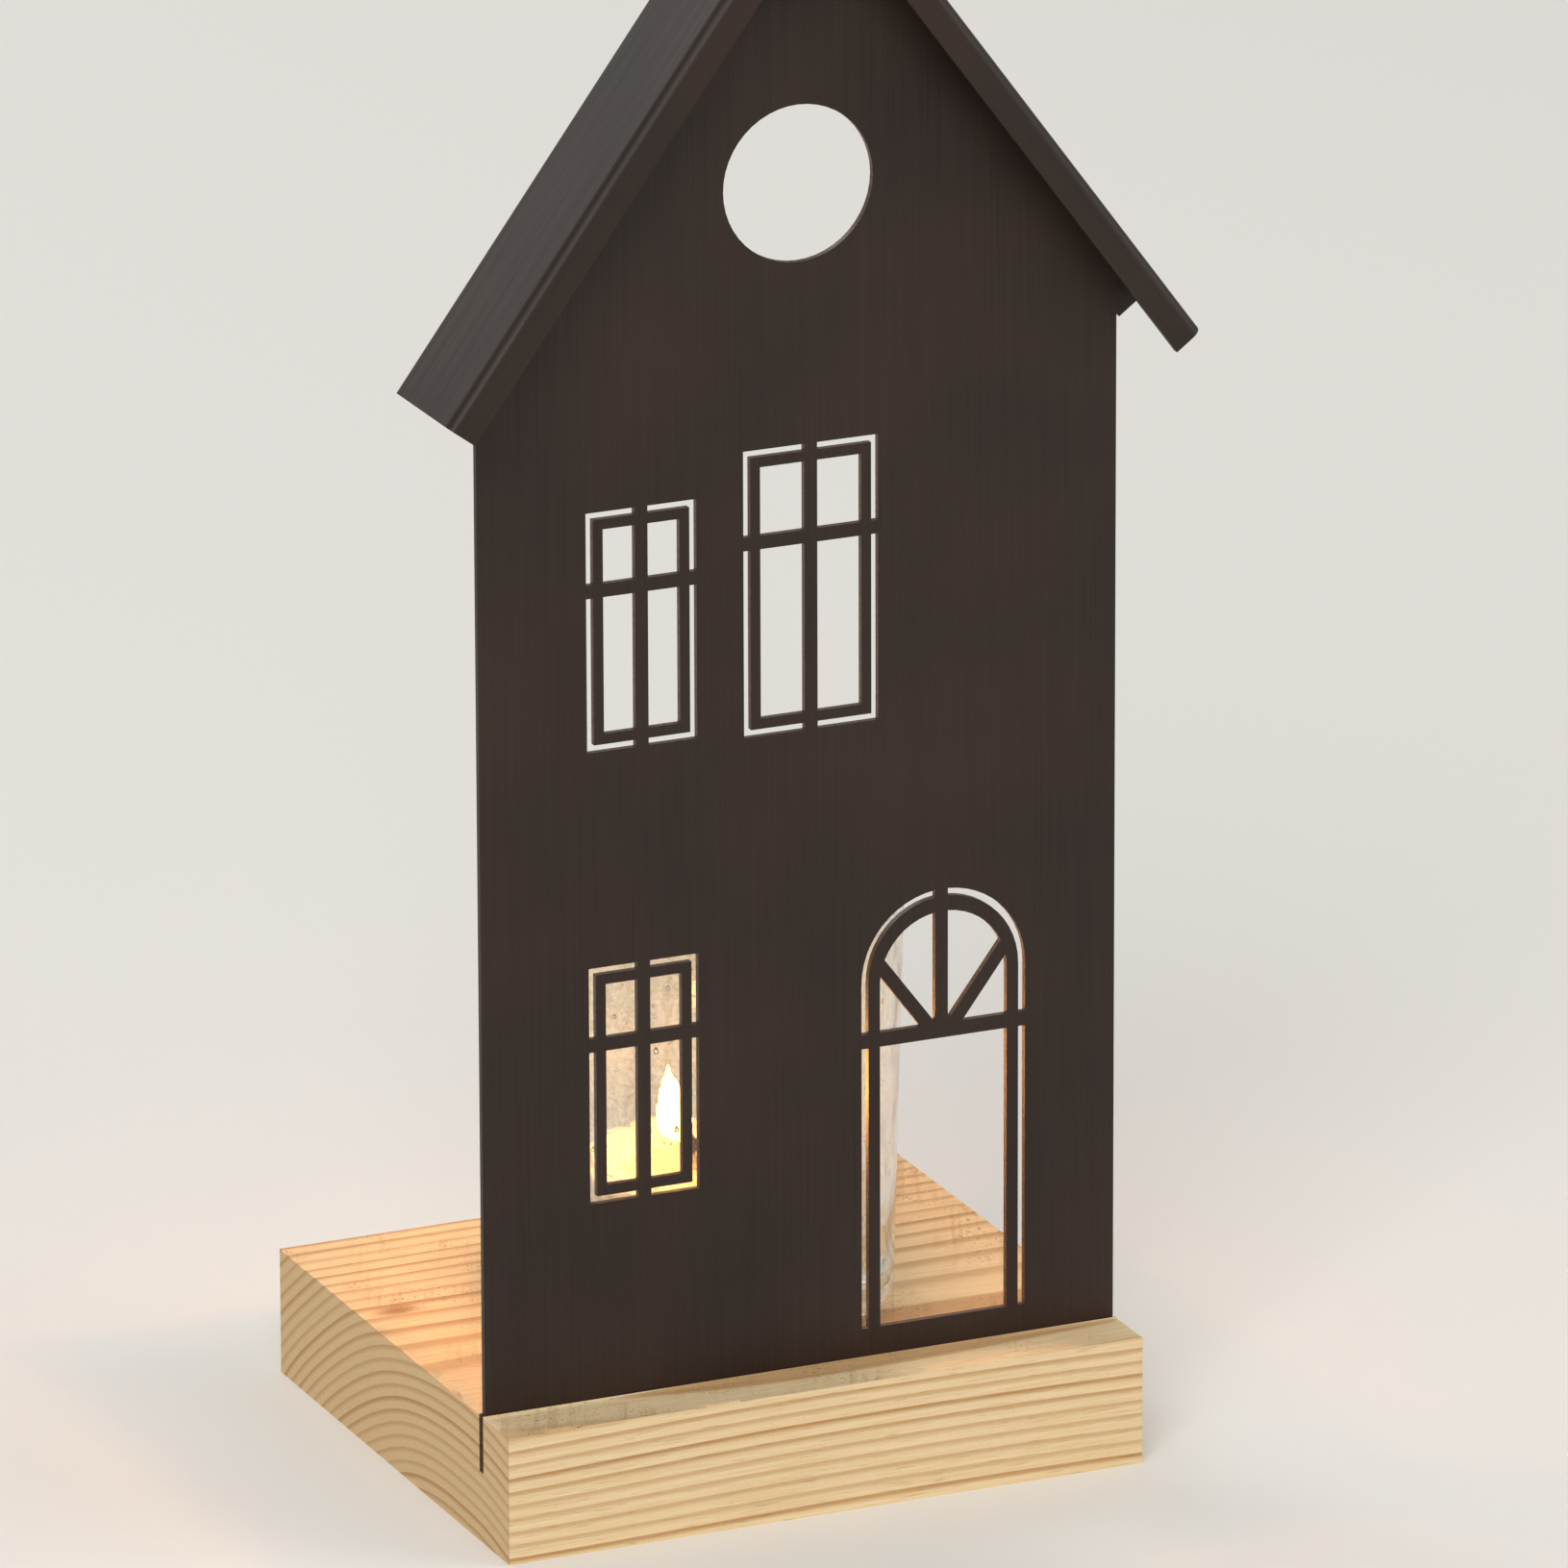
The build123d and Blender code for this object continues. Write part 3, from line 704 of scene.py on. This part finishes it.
class TEALIGHT_OT_flame(bpy.types.Operator):
    """Models the flame: a teardrop, extruded ring by ring from its foot on the wick to its tip"""

    bl_idname = "tealight.flame"
    bl_label = "Flame"

    sides: IntProperty(name="Sides", description="Sides of each ring", default=24, min=8)

    def execute(self, context):
        s = context.scene.tealight_candle
        bpy.ops.object.select_all(action="DESELECT")
        foot = Vector((wick_low.x - s.flame_side, candle_axis.y, wick_high.z - s.flame_foot))
        height_shares = (0.0, 0.05, 0.14, 0.27, 0.42, 0.58, 0.74, 0.88, 0.97, 1.0)
        radius_shares = (0.22, 0.55, 0.86, 1.0, 0.94, 0.74, 0.47, 0.24, 0.08, 0.02)
        bpy.ops.mesh.primitive_circle_add(
            vertices=self.sides, radius=radius_shares[0] * s.flame_radius, fill_type="NGON", location=foot
        )
        flame = context.active_object
        flame.name = "flame"
        bpy.ops.object.transform_apply(location=True, rotation=True, scale=True)
        bpy.ops.object.mode_set(mode="EDIT")
        bpy.ops.mesh.select_all(action="SELECT")
        way = Vector((-s.flame_lean, 0, s.flame_height))
        for i in range(1, len(height_shares)):
            step = (height_shares[i] - height_shares[i - 1]) * way
            bpy.ops.mesh.extrude_region_move(TRANSFORM_OT_translate={"value": step})
            spread = radius_shares[i] / radius_shares[i - 1]
            ring_middle = foot + height_shares[i] * way
            bpy.ops.transform.resize(value=(spread, spread, 1), center_override=ring_middle)
        bpy.ops.mesh.select_all(action="SELECT")
        bpy.ops.mesh.normals_make_consistent(inside=False)
        bpy.ops.object.mode_set(mode="OBJECT")
        soften = flame.modifiers.new("soften", "SUBSURF")
        soften.levels = soften.render_levels = 1
        bpy.ops.object.modifier_apply(modifier=soften.name)
        bpy.ops.object.shade_smooth()

        # A candle flame gives light of its own: pale yellow in the middle, orange at the foot and the tip.
        material, tree, place = new_material("candle_flame")
        level = node(tree, "SeparateXYZ", {0: place}).outputs["Z"]
        tip = foot.z + s.flame_height
        core_low = foot.z + 0.3 * s.flame_height
        core_high = tip - 0.45 * s.flame_height
        lower = node(tree, "MapRange", {0: level, "From Min": foot.z, "From Max": core_low})
        upper = node(tree, "MapRange", {0: level, "From Min": tip, "From Max": core_high, "To Min": 0.25})
        core = node(tree, "Math", {0: lower, 1: upper}, operation="MULTIPLY")
        shade = node(tree, "Mix", {0: core, 6: s.flame_edge, 7: s.flame_core}, data_type="RGBA")
        shader = node(
            tree, "BsdfPrincipled",
            {"Base Color": (0, 0, 0, 1), "Roughness": 1.0, "Specular IOR Level": 0.0,
             "Emission Color": shade, "Emission Strength": s.flame_strength},
        )
        finish(material, shader, flame)
        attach(flame, "tealight")
        return {"FINISHED"}


class TEALIGHT_OT_stage(bpy.types.Operator):
    """Sets up the plain pale floor, the soft lamps and the camera"""

    bl_idname = "tealight.stage"
    bl_label = "Stage"

    def execute(self, context):
        s = context.scene.tealight_stage
        bpy.ops.object.select_all(action="DESELECT")
        bpy.ops.mesh.primitive_plane_add(size=s.floor_size, location=(0, 0, 0))
        floor = context.active_object
        floor.name = "floor"
        # Matt painted board: pale and even.
        material, tree, _ = new_material("painted_board")
        shader = node(
            tree, "BsdfPrincipled", {"Base Color": s.floor, "Roughness": 0.7, "Specular IOR Level": 0.2}
        )
        finish(material, shader, floor)

        world = bpy.data.worlds.new("studio")
        world.use_nodes = True
        world.node_tree.nodes.clear()
        sky = node(world.node_tree, "Background", {"Color": s.sky, "Strength": s.sky_strength})
        node(world.node_tree, "OutputWorld", {"Surface": sky})
        context.scene.world = world

        # The lamps' places are in metres.
        middle = Vector((0, 0, s.lamp_aim))
        for name, place, watts in (
            ("key_lamp", (-1.3, -1.9, 1.7), s.key_power),
            ("fill_lamp", (1.9, -1.2, 1.1), s.fill_power),
            ("rear_lamp", (-0.5, 2.0, 1.6), s.rear_power),
        ):
            lamp = bpy.data.objects.new(name, bpy.data.lights.new(name, "AREA"))
            lamp.data.size = s.lamp_size
            lamp.data.energy = watts
            lamp.location = place
            lamp.rotation_euler = (middle - Vector(place)).to_track_quat("-Z", "Y").to_euler()
            context.scene.collection.objects.link(lamp)

        a, e, r = s.azimuth, s.elevation, s.roll
        back = Vector((math.sin(a) * math.cos(e), -math.cos(a) * math.cos(e), math.sin(e)))
        level_right = Vector((math.cos(a), math.sin(a), 0))
        level_up = back.cross(level_right)
        right = level_right * math.cos(r) + level_up * math.sin(r)
        up = level_up * math.cos(r) - level_right * math.sin(r)
        eye = Vector(s.aim) + back * s.distance
        camera = bpy.data.objects.new("camera", bpy.data.cameras.new("camera"))
        camera.data.sensor_width = s.sensor_width
        camera.data.lens = s.focal_length
        camera.matrix_world = Matrix.Translation(eye) @ Matrix((right, up, back)).transposed().to_4x4()
        context.scene.collection.objects.link(camera)
        context.scene.camera = camera
        context.scene.view_settings.view_transform = "Standard"
        return {"FINISHED"}


class TEALIGHT_PT_house(bpy.types.Panel):
    """Lists the operators and the settings"""

    bl_idname = "TEALIGHT_PT_house"
    bl_label = "Tealight House"
    bl_space_type = "VIEW_3D"
    bl_region_type = "UI"
    bl_category = "Tealight House"

    def draw(self, context):
        for operator, group in (
            (TEALIGHT_OT_stage, "tealight_stage"),
            (TEALIGHT_OT_block, "tealight_pine"),
            (TEALIGHT_OT_sheet_metal, "tealight_lacquer"),
            (TEALIGHT_OT_tumbler, "tealight_glass"),
            (TEALIGHT_OT_candle, "tealight_candle"),
            (TEALIGHT_OT_flame, None),
        ):
            box = self.layout.box()
            box.operator(operator.bl_idname)
            if group:
                settings = getattr(context.scene, group)
                for name in settings.__annotations__:
                    box.prop(settings, name)


groups = {
    "tealight_pine": PineSettings,
    "tealight_lacquer": LacquerSettings,
    "tealight_glass": GlassSettings,
    "tealight_candle": TealightSettings,
    "tealight_stage": StageSettings,
}
classes = (
    *groups.values(),
    TEALIGHT_OT_stage,
    TEALIGHT_OT_block,
    TEALIGHT_OT_sheet_metal,
    TEALIGHT_OT_tumbler,
    TEALIGHT_OT_candle,
    TEALIGHT_OT_flame,
    TEALIGHT_PT_house,
)


def register():
    for cls in classes:
        bpy.utils.register_class(cls)
    for name, group in groups.items():
        setattr(bpy.types.Scene, name, PointerProperty(type=group))


def unregister():
    for name in groups:
        delattr(bpy.types.Scene, name)
    for cls in reversed(classes):
        bpy.utils.unregister_class(cls)


def main():
    register()
    bpy.ops.tealight.stage()
    bpy.ops.tealight.block()
    bpy.ops.tealight.sheet_metal()
    bpy.ops.tealight.tumbler()
    bpy.ops.tealight.candle()
    bpy.ops.tealight.flame()


if __name__ == "__main__":
    main()
